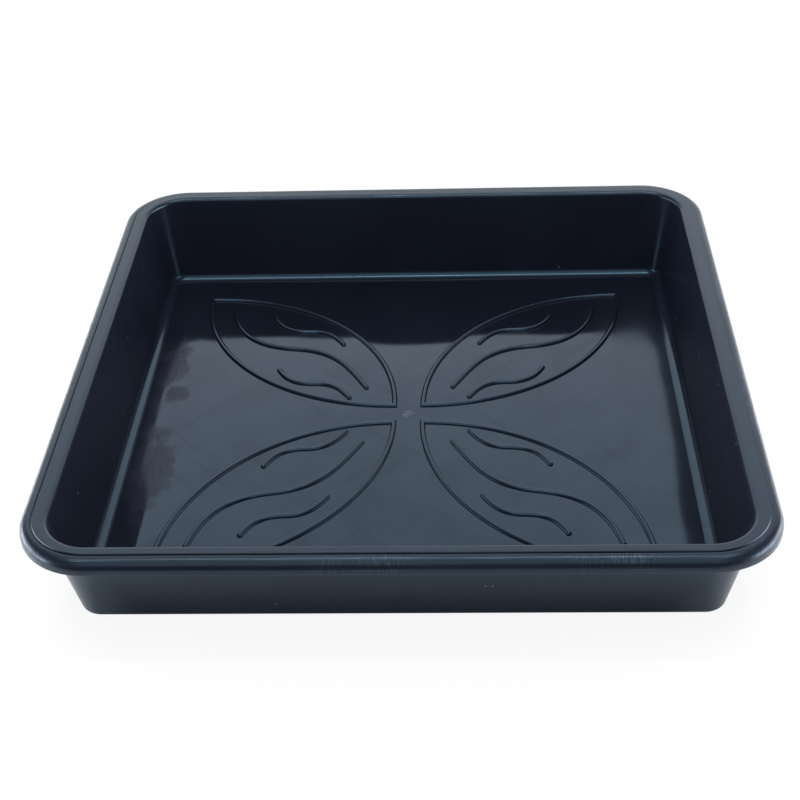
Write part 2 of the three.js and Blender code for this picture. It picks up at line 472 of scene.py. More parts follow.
@dataclass(frozen=True)
class RimPlastic(Plastic):
    """The rim's plastic, with fine lines left by the mould along it and a roll that is rubbed in places."""

    lines_per_metre: float = 700.0
    line_stretch: float = 0.02
    line_height: float = 0.22 * MM
    line_share: float = 0.7
    roll_shine: float = 0.36
    rubs_per_metre: float = 11.0
    rub_ends: Point = (0.45, 0.68)
    scratches_per_metre: float = 1300.0
    scratch_stretch: float = 0.15
    scratch_ends: Point = (0.42, 0.62)
    rubbed_shine: float = 0.64

    def mark(self, sheet: NodeSheet, place: Any, look: Look) -> None:
        """Bumps the rim with noise drawn out along it, and scratches the roll across where it is rubbed.

        Args:
            sheet: the material's nodes.
            place: Object coordinates.
            look: the look to mark.
        """
        flow = sheet.add("ShaderNodeAttribute", attribute_name=FLOW).outputs["Vector"]
        drawn_out = sheet.placed(flow, (self.line_stretch, self.line_stretch, 1.0))
        lines = sheet.noise(drawn_out, self.lines_per_metre, 2.0, 0.6)
        look.normal = sheet.bump(lines, self.line_height, self.line_share, look.normal)
        roll = sheet.add("ShaderNodeAttribute", attribute_name=ROLL).outputs["Fac"]
        look.shine = sheet.ranged(roll, 0.0, 1.0, self.shine, self.roll_shine)
        rubbed = sheet.ranged(sheet.noise(flow, self.rubs_per_metre), *self.rub_ends)
        drawn_out = sheet.placed(flow, (1.0, 1.0, self.scratch_stretch))
        scratches = sheet.noise(drawn_out, self.scratches_per_metre, 2.0, 0.6)
        scratches = sheet.ranged(scratches, *self.scratch_ends)
        share = sheet.math("MULTIPLY", sheet.math("MULTIPLY", rubbed, roll), scratches)
        look.shine = sheet.ranged(share, 0.0, 1.0, look.shine, self.rubbed_shine)


GLOSSY_DARK: Colour = (0.0060, 0.0078, 0.0140)
GLOSSY_LIGHT: Colour = (0.0075, 0.0095, 0.0165)
FLOOR_PLASTIC = FloorPlastic("floor_plastic", GLOSSY_DARK, GLOSSY_LIGHT, (0.055, 0.085))
WALL_PLASTIC = WallPlastic(
    "wall_plastic",
    (0.0090, 0.0112, 0.0198),
    (0.0110, 0.0136, 0.0238),
    (0.22, 0.28),
    tint=(0.38, 0.73, 1.0),
)
RIM_PLASTIC = RimPlastic(
    "rim_plastic",
    (0.0065, 0.0082, 0.0145),
    (0.0085, 0.0105, 0.0180),
    (0.22, 0.28),
    tint=(0.53, 0.77, 1.0),
    shine=0.46,
)
RIB_PLASTIC = Plastic("rib_plastic", GLOSSY_DARK, GLOSSY_LIGHT, (0.12, 0.18), cloud=60.0)
GATE_PLASTIC = Plastic(
    "gate_plastic",
    (0.006, 0.008, 0.014),
    (0.105, 0.115, 0.142),
    (0.35, 0.55),
    cloud=650.0,
    grain_height=0.3 * MM,
)


# Profiles, paths and surfaces


@dataclass
class Profile:
    """A line in the plane of (distance out, height), with the way that its surface faces."""

    points: Array
    facings: Array

    @staticmethod
    def rounded(corners: Array, radii: Array, steps: int) -> tuple[Array, Array]:
        """Rounds every corner of a closed polygon by an arc that touches both of its sides.

        The arc starts where the radius times the tangent of half the turn is left before the corner,
        and the heading turns evenly along it. The surface faces to the right of the heading.

        Args:
            corners: the polygon's corners, anticlockwise, one row each.
            radii: the radius at each corner.
            steps: steps along each arc.

        Returns:
            Points and facings, with axes (corner, step, coordinate).
        """
        ahead = np.roll(corners, -1, axis=0) - corners
        ahead = ahead / np.linalg.norm(ahead, axis=1, keepdims=True)
        before = np.roll(ahead, 1, axis=0)
        cross = before[:, 0] * ahead[:, 1] - before[:, 1] * ahead[:, 0]
        turn = np.arctan2(cross, np.sum(before * ahead, axis=1))
        start = corners - before * (radii * np.tan(np.abs(turn) / 2))[:, None]
        signed = (np.sign(turn) * radii)[:, None]
        centre = start + signed * np.stack((-before[:, 1], before[:, 0]), axis=1)
        heading = np.arctan2(before[:, 1], before[:, 0])[:, None]
        heading = heading + turn[:, None] * np.linspace(0, 1, steps + 1)
        facings = np.stack((np.sin(heading), -np.cos(heading)), axis=2)
        return centre[:, None] + signed[:, :, None] * facings, facings

    @classmethod
    def closed(cls, corners: list[Triple], steps: int) -> "Profile":
        """Makes a closed profile from corners and radii, as rounded() describes it.

        Args:
            corners: distance out, height and radius of each corner, anticlockwise.
            steps: steps along each arc.

        Returns:
            The profile.
        """
        given = np.array(corners)
        points, facings = cls.rounded(given[:, :2], given[:, 2], steps)
        return cls(points.reshape(-1, 2), facings.reshape(-1, 2))


@dataclass
class Track:
    """A closed path seen from above, anticlockwise, with the way out at each point."""

    places: Array
    outward: Array

    @classmethod
    def square(cls, axis: float, side_steps: int, corner_steps: int) -> "Track":
        """Runs round a square whose corners turn about four upright axes.

        Along a side the place moves evenly and the way out stays. At a corner the place stays on the
        axis and the way out turns by a quarter.

        Args:
            axis: distance of the corner axes from the middle planes.
            side_steps: steps along a side.
            corner_steps: steps round a corner.

        Returns:
            The track.
        """
        along = np.linspace(-axis, axis, side_steps, endpoint=False)
        angle = np.radians(np.linspace(-90, 0, corner_steps, endpoint=False))
        front = np.stack((along, np.full_like(along, -axis)), axis=1)
        corner = np.tile((axis, -axis), (corner_steps, 1))
        places = np.vstack((front, corner))
        outward = np.vstack(
            (np.tile((0.0, -1.0), (side_steps, 1)), np.stack((np.cos(angle), np.sin(angle)), axis=1))
        )
        turns = np.radians(np.arange(4) * 90.0)
        spin = np.array([[np.cos(turns), np.sin(turns)], [-np.sin(turns), np.cos(turns)]]).transpose(2, 0, 1)
        return cls((places @ spin).reshape(-1, 2), (outward @ spin).reshape(-1, 2))

    @classmethod
    def round_line(cls, line: Array, end_steps: int) -> "Track":
        """Runs along the right of a line, half round its end, back along its left and half round its start.

        Args:
            line: points of the line.
            end_steps: points on each half-round end.

        Returns:
            The track.
        """
        way = np.gradient(line, axis=0)
        way = way / np.linalg.norm(way, axis=1, keepdims=True)
        right = np.stack((way[:, 1], -way[:, 0]), axis=1)
        turn = (np.arange(1, end_steps + 1) / (end_steps + 1) * math.pi)[:, None]
        end_cap = np.cos(turn) * right[-1] + np.sin(turn) * way[-1]
        start_cap = -np.cos(turn) * right[0] - np.sin(turn) * way[0]
        start, end = (np.tile(spot, (end_steps, 1)) for spot in (line[0], line[-1]))
        places = np.vstack((line, end, line[::-1], start))
        return cls(places, np.vstack((right, end_cap, -right[::-1], start_cap)))

    def mirrored(self, quarter: Quarter) -> "Track":
        """Mirrors the track into a quarter and keeps it anticlockwise.

        Args:
            quarter: the quarter, by whose signs the track is multiplied.

        Returns:
            The mirrored track.
        """
        signs = np.array(quarter.value, float)
        order = slice(None) if signs.prod() > 0 else slice(None, None, -1)
        return Track((self.places * signs)[order], (self.outward * signs)[order])

    def carry(self, distance: Array) -> Array:
        """Steps out from every place by every distance.

        Args:
            distance: distances out, one for each profile point, or one row of them for each place.

        Returns:
            X and Y, with axes (place, profile point, coordinate).
        """
        return self.places[:, None] + np.atleast_2d(distance)[:, :, None] * self.outward[:, None]

    def lengths(self, reach: float) -> Array:
        """Adds up the steps along the track at a distance out.

        Args:
            reach: the distance out.

        Returns:
            The length up to each place.
        """
        edge = self.places + reach * self.outward
        steps = np.linalg.norm(np.diff(edge, axis=0), axis=1)
        return np.concatenate(([0.0], np.cumsum(steps)))


@dataclass
class Surface:
    """A grid of points that closes on itself round its track."""

    points: Array
    facings: Array | None = None
    loop: bool = True
    facing_at: Callable[[Array], Array] | None = None

    def faces(self) -> Array:
        """Joins neighbours on the grid into quads that face outwards.

        Returns:
            Indices, four for each quad.
        """
        rows, columns = self.points.shape[:2]
        index = np.arange(rows * columns).reshape(rows, columns)
        if self.loop:
            index = np.hstack((index, index[:, :1]))
        index = np.vstack((index, index[:1]))
        quads = np.stack((index[:-1, :-1], index[1:, :-1], index[1:, 1:], index[:-1, 1:]), axis=-1)
        return quads.reshape(-1, 4)

    def blended(self, other: "Surface", share: Array) -> "Surface":
        """Mixes the surface with another that has the same grid.

        Args:
            other: the other surface.
            share: share of the other at each place of the track.

        Returns:
            The mixed surface with its facings.
        """
        share = share[:, None, None]
        facings = self.facings * (1 - share) + other.facings * share
        facings = facings / np.linalg.norm(facings, axis=2, keepdims=True)
        return Surface(self.points * (1 - share) + other.points * share, facings)

    def piece(self, name: str, weld: bool = False) -> Piece:
        """Puts the surface into a mesh object at the origin.

        Args:
            name: the piece's name.
            weld: join points that fall together, as at a pole.

        Returns:
            The object.
        """
        mesh = bpy.data.meshes.new(name)
        mesh.from_pydata(self.points.reshape(-1, 3).tolist(), [], self.faces().tolist())
        if weld:
            work = bmesh.new()
            work.from_mesh(mesh)
            bmesh.ops.remove_doubles(work, verts=work.verts, dist=WELD)
            work.to_mesh(mesh)
            work.free()
        mesh.validate()
        mesh.polygons.foreach_set("use_smooth", np.ones(len(mesh.polygons), bool))
        facings = self.facings
        if self.facing_at is not None:
            spots = np.zeros(len(mesh.vertices) * 3)
            mesh.vertices.foreach_get("co", spots)
            facings = self.facing_at(spots.reshape(-1, 3))
        if facings is None:
            mesh.set_sharp_from_angle(angle=math.radians(SMOOTH_BELOW))
        else:
            mesh.normals_split_custom_set_from_vertices(facings.reshape(-1, 3).tolist())
        made = bpy.data.objects.new(name, mesh)
        bpy.context.scene.collection.objects.link(made)
        return made


def ease(value: Array) -> Array:
    """Eases from 0 to 1 about zero, by the logistic curve."""
    return 1 / (1 + np.exp(-value))


def dress(piece: Piece, material: bpy.types.Material, nodes: list[str]) -> Piece:
    """Gives a piece its material, its body and the nodes that it stands for.

    Args:
        piece: the piece.
        material: its finish.
        nodes: nodes that it replaces.

    Returns:
        The piece.
    """
    piece.data.materials.append(material)
    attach(piece, BODY)
    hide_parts(*nodes)
    return piece


# The saucer


@dataclass
class Tray:
    """What the pieces share: the tray's main lines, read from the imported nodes."""

    floor_thickness: float = 2.6 * MM
    lean: float = math.radians(13.5)
    foot_tighter: Point = (2.8 * MM, 4.5 * MM)  # the corner axes' move out at the foot, outside and inside
    lip_inward: float = 1.5 * MM  # how much further in than packed the lip reaches, but for the front
    side_steps: int = 48
    corner_steps: int = 28
    floor_half: float = field(init=False)
    crown: float = field(init=False)
    axis: float = field(init=False)
    seat: float = field(init=False)
    mouth: float = field(init=False)
    wall_top: float = field(init=False)
    lip_edge: float = field(init=False)
    lip_top: float = field(init=False)
    rim_half: float = field(init=False)
    roll_top: float = field(init=False)
    skirt_foot: float = field(init=False)

    def __post_init__(self) -> None:
        """Reads the boxes of the floor and of the front wall, lip and rolled edge."""
        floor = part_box("floor_panel")
        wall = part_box("front_wall")
        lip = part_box("front_lip")
        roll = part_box("front_rolled_edge")
        self.floor_half = floor[1].x
        self.crown = floor[1].z - self.floor_thickness
        self.axis = wall[1].x
        self.seat = wall[1].z
        self.wall_top = -wall[0].y
        self.mouth = -lip[1].y
        self.lip_edge = -lip[0].y
        self.lip_top = lip[1].z
        self.rim_half = -roll[0].y
        self.roll_top = roll[1].z
        self.skirt_foot = roll[0].z

    def track(self) -> Track:
        """The path that the floor, the walls and the rim all follow."""
        return Track.square(self.axis, self.side_steps, self.corner_steps)

    def away_from_front(self, track: Track) -> Array:
        """None at the front and one at the sides and back: one less the square of the way to the front."""
        return 1 - np.clip(-track.outward[:, 1], 0, 1) ** 2

    def inside_at(self, height: float) -> float:
        """How far out the walls' inside lies at a height."""
        return self.mouth - (self.seat - height) * math.tan(self.lean)

    def floor_rise(self, spots: Array) -> Array:
        """Height of the floor's crown: its rise times one less the square of each share of the half width.

        Args:
            spots: X and Y on the last axis.

        Returns:
            The rise at each spot.
        """
        share = 1 - (spots / self.floor_half) ** 2
        return self.crown * share[..., 0] * share[..., 1]

    def on_floor(self, spots: Array, height: Array) -> Array:
        """Lifts spots to heights over the floor's top.

        Args:
            spots: X and Y on the last axis.
            height: height over the floor at each spot.

        Returns:
            X, Y and Z.
        """
        z = self.floor_thickness + self.floor_rise(spots) + height
        return np.concatenate((spots, z[..., None]), axis=-1)

    def outline(self, track: Track, half: Array, height: Array, tighter: Array | float) -> Array:
        """Steps out round the track, with corner axes that move out by a share of the height below the seat.

        Args:
            track: the track.
            half: distances from the middle planes.
            height: the height at each of them.
            tighter: how far the corner axes lie further out at the foot, for each of them or for all.

        Returns:
            X and Y, with axes (place, distance, coordinate).
        """
        shift = tighter * np.clip(1 - height / self.seat, 0, 1)
        moved = track.places[:, None] * (shift / self.axis)[:, None]
        return track.carry(half - self.axis - shift) + moved

    def swept(self, profile: Profile, track: Track, tighter: Array | float = 0.0) -> Surface:
        """Carries a closed profile round a track, level.

        Where the corner axes lean, the facing tips by their slope times the corner's extra reach.

        Args:
            profile: the profile, by distance from the middle planes and height.
            track: the track.
            tighter: how far the corner axes lie further out at the foot, for each profile point or for all.

        Returns:
            The surface with its facings.
        """
        spots = self.outline(track, profile.points[:, 0], profile.points[:, 1], tighter)
        heights = np.broadcast_to(profile.points[:, 1], spots.shape[:2])
        extra = np.sum(track.places * track.outward, axis=1, keepdims=True) / self.axis - 1
        out = profile.facings[:, 0]
        up = profile.facings[:, 1] + out * extra * tighter / self.seat
        facings = np.concatenate((out[None, :, None] * track.outward[:, None], up[..., None]), axis=2)
        facings = facings / np.linalg.norm(facings, axis=2, keepdims=True)
        return Surface(np.concatenate((spots, heights[..., None]), axis=2), facings)

    def lipped(
        self,
        profile: Callable[[float, float], Profile],
        ends: Point,
        share: Array,
        tighter: Array | float = 0.0,
    ) -> Surface:
        """Carries a changing section round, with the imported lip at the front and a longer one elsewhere.

        Args:
            profile: the section, by the value that changes and by how much further in the lip reaches.
            ends: the two values to blend between.
            share: share of the second value at each place of the track.
            tighter: how far the corner axes lie further out at the foot, for each profile point or for all.

        Returns:
            The surface with its facings.
        """
        track = self.track()
        packed, longer = (
            self.swept(profile(ends[0], inward), track, tighter).blended(
                self.swept(profile(ends[1], inward), track, tighter), share
            )
            for inward in (0.0, self.lip_inward)
        )
        return packed.blended(longer, self.away_from_front(track))


@dataclass
class FloorPanel:
    """The crowned floor, one thickness all over, as rings from its middle to its edge."""

    tray: Tray
    relief: "LeafRelief"
    top_rings: int = 84
    under_rings: int = 16
    left_dip: float = 0.17
    left_reach: Triple = (17 * MM, 4 * MM, 9.5 * MM)  # front, middle and back
    left_turns: tuple[Point, Point] = ((-62 * MM, 6 * MM), (48 * MM, 8 * MM))  # place and softness
    left_soft: float = 1.4 * MM
    right_dip: Triple = (0.14, 0.08, 0.11)
    right_reach: Triple = (13 * MM, 7 * MM, 6 * MM)
    right_turns: tuple[Point, Point] = ((-58 * MM, 13 * MM), (56 * MM, 8 * MM))
    right_soft: float = 4.2 * MM
    back_fall: Point = (3.2, 1.7)  # times the crown's slope that the back half shows, outside and in leaves
    leaf_soft: float = 0.5 * MM
    ripple: float = 0.003
    ripple_length: Point = (34 * MM, 46 * MM)
    ripple_lean: float = 0.6
    ripple_phase: float = 0.8

    def surface(self) -> Surface:
        """Shrinks the floor's outline towards the middle, once for each ring, under and on top.

        Returns:
            The closed surface.
        """
        tray = self.tray
        half, height = np.array([tray.floor_half]), np.array([tray.floor_thickness])
        edge = tray.outline(tray.track(), half, height, tray.foot_tighter[1])
        shares = np.concatenate((np.linspace(0, 1, self.under_rings), np.linspace(1, 0, self.top_rings)))
        spots = edge * shares[None, :, None]
        lift = np.repeat((-tray.floor_thickness, 0.0), (self.under_rings, self.top_rings))
        return Surface(tray.on_floor(spots, lift[None, :]), loop=False, facing_at=self.facing)

    @staticmethod
    def along(y: Array, levels: Triple, turns: tuple[Point, Point]) -> Array:
        """Eases from a front level to a middle one and on to a back one.

        Args:
            y: places from front to back.
            levels: the three levels.
            turns: place and softness of the two changes.

        Returns:
            The level at each place.
        """
        (front, front_soft), (back, back_soft) = turns
        level = levels[1] + (levels[0] - levels[1]) * ease((front - y) / front_soft)
        return level + (levels[2] - levels[1]) * ease((y - back) / back_soft)

    def in_leaves(self, spots: Array) -> Array:
        """One in the leaves and none outside: in a leaf, a point is within the side of both arcs' centres.

        Args:
            spots: X and Y of the floor's points.

        Returns:
            The share at each point.
        """
        near, side = self.relief.leaf()
        local = np.abs(spots) - near
        reaches = np.linalg.norm(local[None] - np.array([[[0.0, side]], [[side, 0.0]]]), axis=2)
        return ease((side - reaches.max(axis=0)) / self.leaf_soft)

    def facing(self, spots: Array) -> Array:
        """The way that the floor faces, with the slight warp that its gloss shows.

        The slope is that of the crown, steeper at the back, plus a ripple of two crossed sines, plus a dip
        to the side walls. A dip eases in within its reach of the wall, which changes along the wall.

        Args:
            spots: X, Y and Z of the floor's points.

        Returns:
            The facing at each point.
        """
        half = self.tray.floor_half
        x, y = spots[:, 0], spots[:, 1]
        slope_x = -2 * self.tray.crown * x / half**2 * (1 - (y / half) ** 2)
        fall = self.back_fall[0] + (self.back_fall[1] - self.back_fall[0]) * self.in_leaves(spots[:, :2])
        slope_y = -2 * self.tray.crown * y / half**2 * (1 - (x / half) ** 2) * np.where(y > 0, fall, 1.0)
        reach = self.along(y, self.left_reach, self.left_turns)
        slope_x += self.left_dip * ease((reach - (half + x)) / self.left_soft)
        reach = self.along(y, self.right_reach, self.right_turns)
        dip = self.along(y, self.right_dip, self.right_turns)
        slope_x -= dip * ease((reach - (half - x)) / self.right_soft)
        wave = 2 * math.pi / np.array(self.ripple_length)
        slope_x += self.ripple * np.sin(wave[0] * x + wave[1] * y)
        slope_y += self.ripple * np.cos(wave[0] * y - self.ripple_lean * wave[1] * x + self.ripple_phase)
        facing = np.stack((-slope_x, -slope_y, np.ones_like(x)), axis=1)
        facing /= np.linalg.norm(facing, axis=1, keepdims=True)
        middle = self.tray.on_floor(spots[:, :2], np.full(len(x), -self.tray.floor_thickness / 2))[:, 2]
        return np.where((spots[:, 2] > middle)[:, None], facing, -facing)

    def build(self) -> list[Piece]:
        """Makes and dresses the floor."""
        piece = self.surface().piece("floor_panel_skin", weld=True)
        return [dress(piece, FLOOR_PLASTIC.material(), ["floor_panel"])]


@dataclass
class Walls:
    """The leaning walls, with a fillet to the floor inside and a rounded foot outside."""

    tray: Tray
    fillet: float = 5.2 * MM
    foot_thinner: Point = (-0.6 * MM, 2.2 * MM)  # how much they thin to the floor: front and back, sides
    foot_round: float = 3 * MM
    joint: float = 0.01 * MM  # hidden edges where the moulding's features meet
    lap: float = 3 * MM  # how far the fillet's end runs in under the crowned floor
    corner_gloss: float = 0.4
    corner_width: float = 0.16
    arc_steps: int = 12

    def profile(self, thinner: float, inward: float) -> Profile:
        """The wall's cross section: foot, outside, seat of the lip, inside, fillet and the floor's edge.

        Args:
            thinner: how much less thick the wall is at the floor than packed.
            inward: how much thicker it is under the lip than packed.

        Returns:
            The profile.
        """
        tray = self.tray
        thickness = tray.wall_top - tray.mouth
        corners = [
            (tray.floor_half - self.lap, 0.0, self.joint),
            (tray.inside_at(0.0) + thickness, 0.0, self.foot_round),
            (tray.wall_top, tray.seat, self.joint),
            (tray.mouth - inward, tray.seat, self.joint),
            (tray.inside_at(tray.floor_thickness) + thinner, tray.floor_thickness, self.fillet),
            (tray.floor_half - self.lap, tray.floor_thickness, self.joint),
        ]
        return Profile.closed(corners, self.arc_steps)

    def dullness(self) -> Array:
        """A half outside, one inside but less in the corners, and falling to none along the fillet.

        The gloss of the corners fades by a bell curve over the difference of the way out's X and Y.

        Returns:
            The dullness at each point.
        """
        fall = np.linspace(1, 0, self.arc_steps + 1)
        inside = np.concatenate((np.ones_like(fall), fall, np.zeros_like(fall)))
        outward = np.abs(self.tray.track().outward)
        gloss = self.corner_gloss * np.exp(-(((outward[:, 0] - outward[:, 1]) / self.corner_width) ** 2))
        inside = np.outer(1 - gloss, inside)
        return np.hstack((np.full_like(inside, DULL_OUTSIDE), inside))

    def surface(self) -> Surface:
        """Blends the section of the front and back into that of the sides, by the square of the way out's X.

        Returns:
            The surface with its facings.
        """
        tighter = np.repeat(self.tray.foot_tighter, 3 * (self.arc_steps + 1))
        sideways = self.tray.track().outward[:, 0] ** 2
        return self.tray.lipped(self.profile, self.foot_thinner, sideways, tighter)

    def build(self) -> list[Piece]:
        """Makes and dresses the walls.

        Returns:
            The walls' one piece.
        """
        nodes = [f"{side}_wall" for side in SIDES] + [f"{corner}_wall_corner" for corner in CORNERS]
        piece = self.surface().piece("wall_skin")
        attribute = piece.data.attributes.new(DULL, "FLOAT", "POINT")
        attribute.data.foreach_set("value", self.dullness().astype(np.float32).ravel())
        return [dress(piece, WALL_PLASTIC.material(), nodes)]


@dataclass
class Rim:
    """The flat lip, the groove that shows at the front and left, and the rolled edge with its skirt."""

    tray: Tray
    lip_round: float = 3.0 * MM
    groove: Point = (-0.9 * MM, -0.25 * MM)  # from the lip's edge
    groove_depths: Point = (0.02 * MM, 0.75 * MM)  # at the back right and at the front left
    groove_round: float = 0.2 * MM  # but at most a share of the depth
    groove_round_share: float = 0.4
    bevel: Point = (0.32 * MM, 0.45 * MM)
    bevel_rounds: Point = (0.05 * MM, 0.15 * MM)
    roll_round: float = 5.6 * MM
    roll_thickness: float = 2 * MM
    hollow_drop: float = 0.2 * MM  # of the roll's hollow below the lip's seat
    skirt_rounds: Point = (0.4 * MM, 0.7 * MM)  # inside and outside
    joint: float = 0.01 * MM
    fade: Point = (-0.02, 0.18)
    arc_steps: int = 12
    roll_corner: int = 4  # which of the profile's rounded corners is the roll

    def profile(self, depth: float, inward: float) -> Profile:
        """The rim's cross section, with a groove of a given depth between the lip and the roll.

        Args:
            depth: depth of the groove below the roll's top.
            inward: how much further in than packed the lip reaches.

        Returns:
            The profile.
        """
        tray = self.tray
        inner, outer = (tray.lip_edge + offset for offset in self.groove)
        bottom = tray.roll_top - depth
        hollow = tray.rim_half - self.roll_thickness
        edge = min(self.groove_round, self.groove_round_share * depth)
        corners = [
            (tray.wall_top, tray.seat, self.joint),
            (hollow, tray.seat - self.hollow_drop, self.roll_round - self.roll_thickness),
            (hollow, tray.skirt_foot, self.skirt_rounds[0]),
            (tray.rim_half, tray.skirt_foot, self.skirt_rounds[1]),
            (tray.rim_half, tray.roll_top, self.roll_round),
            (outer, tray.roll_top, edge),
            (outer, bottom, edge),
            (inner, bottom, min(edge, self.joint)),
            (inner, tray.lip_top - self.bevel[1], self.bevel_rounds[0]),
            (inner - self.bevel[0], tray.lip_top, self.bevel_rounds[1]),
            (tray.inside_at(tray.lip_top) - inward, tray.lip_top, self.lip_round),
            (tray.mouth - inward, tray.seat, self.joint),
        ]
        return Profile.closed(corners, self.arc_steps)

    def surface(self) -> Surface:
        """Blends the grooved rim at the front and left into the plain one at the right and back.

        The share of the groove follows how far a spot of the edge lies to the front left.

        Returns:
            The surface with its facings.
        """
        track = self.tray.track()
        edge = track.places + track.outward * (self.tray.rim_half - self.tray.axis)
        lean = -edge.sum(axis=1) / (2 * self.tray.rim_half)
        share = np.clip((lean - self.fade[0]) / (self.fade[1] - self.fade[0]), 0, 1)
        share = share**2 * (3 - 2 * share)
        return self.tray.lipped(self.profile, self.groove_depths, share)

    def flow(self) -> Array:
        """Places on a tube whose rings are as long as the rim, so that lines along it close on themselves.

        The angle is the share of the length along the rim, and the height is the length along the profile.

        Returns:
            X, Y and Z on the tube at each point.
        """
        points = self.profile(self.groove_depths[1], 0.0).points
        steps = np.linalg.norm(np.diff(points, axis=0), axis=1)
        across = np.concatenate(([0.0], np.cumsum(steps)))
        along = self.tray.track().lengths(self.tray.rim_half - self.tray.axis)
        radius = (along[-1] + along[1]) / (2 * math.pi)
        angle, height = np.meshgrid(along / radius, across, indexing="ij")
        return np.stack((radius * np.cos(angle), radius * np.sin(angle), height), axis=-1)

    def on_roll(self, columns: int) -> Array:
        """One on the roll's points of the profile, and none on the others."""
        return (np.arange(columns) // (self.arc_steps + 1) == self.roll_corner).astype(np.float32)

    def build(self) -> list[Piece]:
        """Makes and dresses the rim.

        Returns:
            The rim's one piece.
        """
        nodes = [f"{side}_{part}" for side in SIDES for part in ("lip", "rolled_edge")]
        nodes += [f"{corner}_{part}_corner" for corner in CORNERS for part in ("lip", "rolled_edge")]
        surface = self.surface()
        piece = surface.piece("rim_skin")
        attribute = piece.data.attributes.new(FLOW, "FLOAT_VECTOR", "POINT")
        attribute.data.foreach_set("vector", self.flow().astype(np.float32).ravel())
        attribute = piece.data.attributes.new(ROLL, "FLOAT", "POINT")
        rows, columns = surface.points.shape[:2]
        attribute.data.foreach_set("value", np.tile(self.on_roll(columns), rows))
        return [dress(piece, RIM_PLASTIC.material(), nodes)]


